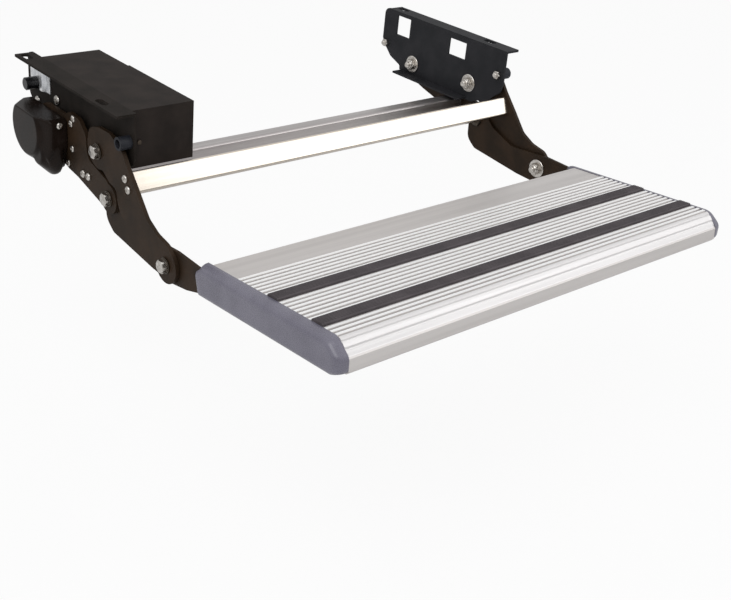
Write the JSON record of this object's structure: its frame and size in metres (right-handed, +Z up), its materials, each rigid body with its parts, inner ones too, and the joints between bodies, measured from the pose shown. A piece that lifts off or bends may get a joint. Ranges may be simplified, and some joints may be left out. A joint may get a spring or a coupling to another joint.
{
  "type": "folding entrance step",
  "caption": "Electric fold-out entrance step: floor flanges carry a four-bar linkage that swings a ribbed tread out and down beneath a vehicle door.",
  "frame": {"origin": "on the vehicle floor's underside: the plane of both floor flanges' top faces, midway between the side plates and 11.5 mm in front of the middle of the fixing slots", "axes": "+X across the step, away from the motor's side; -Y out of the vehicle, the way the tread swings; +Z up"},
  "size_m": [0.6185, 0.5967, 0.156],
  "materials": {
    "bracket_paint": "semi-gloss powder coat, bluish black",
    "arm_paint": "semi-gloss powder coat, brownish black",
    "cover_paint": "satin powder coat, black",
    "motor_paint": "satin paint, black",
    "black_rubber": "matt",
    "grip_rubber": "matt, dark grey",
    "zinc": "bright zinc plating",
    "shaft_steel": "ground steel",
    "bright_aluminium": "polished",
    "mill_aluminium": "as extruded, satin",
    "anodised_aluminium": "satin anodised, silver",
    "cast_aluminium": "as cast",
    "grey_plastic": "fine grained",
    "black_plastic": "moulded, glossy",
    "bronze": "bearing bronze",
    "copper_winding": "enamelled copper over a laminated core",
    "ferrite": "matt"
  },
  "bodies": {
    "frame": {"bracket_left": "bracket_paint", "bracket_right": "bracket_paint", "stop_bumpers": "black_rubber", "bumper_screws": "zinc", "plate_bolts": "zinc", "front_pivot_bolts": "zinc", "front_pivot_nuts": "zinc", "rear_pivot_bolt": "zinc", "rear_pivot_nut": "zinc", "motor_cover": "cover_paint", "cover_screws": "zinc", "gear_housing": "cast_aluminium", "gear_lid": "cast_aluminium", "shaft_bearings": "bronze", "motor_can": "motor_paint", "motor_magnets": "ferrite", "motor_strap": "zinc", "strap_bolts": "zinc", "cable_plug": "black_plastic", "plug_terminals": "black_plastic"},
    "front_arms": {"arm_left": "arm_paint", "arm_right": "arm_paint", "front_crossbar": "bright_aluminium", "front_bar_screws": "zinc"},
    "rear_links": {"link_left": "arm_paint", "link_right": "arm_paint", "rear_crossbar": "mill_aluminium", "rear_bar_screws": "zinc", "link_end_bolts": "zinc", "output_shaft": "zinc", "shaft_nut": "zinc", "worm_wheel": "bronze", "gear_cap": "arm_paint", "gear_cap_screws": "zinc"},
    "tread": {"coupler_left": "arm_paint", "coupler_right": "arm_paint", "tread_pivot_bolts": "zinc", "tread_pivot_nuts": "zinc", "link_end_nuts": "zinc", "coupler_screws": "zinc", "tread_board": "anodised_aluminium", "grip_strip_rear": "grip_rubber", "grip_strip_front": "grip_rubber", "end_cap_left": "grey_plastic", "end_cap_right": "grey_plastic"},
    "worm": {"worm_shaft": "shaft_steel", "armature": "copper_winding"}
  },
  "joints": [
    {"name": "front_arm_hinge", "type": "hinge", "parent": "frame", "child": "front_arms", "pos_m": [0, -0.06, -0.06], "axis": [1, 0, 0], "range_deg": [0, 119]},
    {"name": "rear_link_hinge", "type": "hinge", "parent": "frame", "child": "rear_links", "pos_m": [0, 0.053, -0.066], "axis": [1, 0, 0], "range_deg": [0, 146.45]},
    {"name": "tread_hinge", "type": "hinge", "parent": "front_arms", "child": "tread", "pos_m": [0, -0.19898, -0.13599], "axis": [1, 0, 0], "range_deg": [-114.41, 0]},
    {"name": "worm_spin", "type": "hinge", "parent": "frame", "child": "worm", "pos_m": [-0.2465, -0.074, -0.0337], "axis": [0, 1, 0], "range_deg": [0, 5860]}
  ],
  "couplings": [
    {"joint": "rear_link_hinge", "follows": "front_arm_hinge", "ratio": 1.2306},
    {"joint": "tread_hinge", "follows": "front_arm_hinge", "ratio": -0.96141},
    {"joint": "worm_spin", "follows": "front_arm_hinge", "ratio": 49.226}
  ]
}
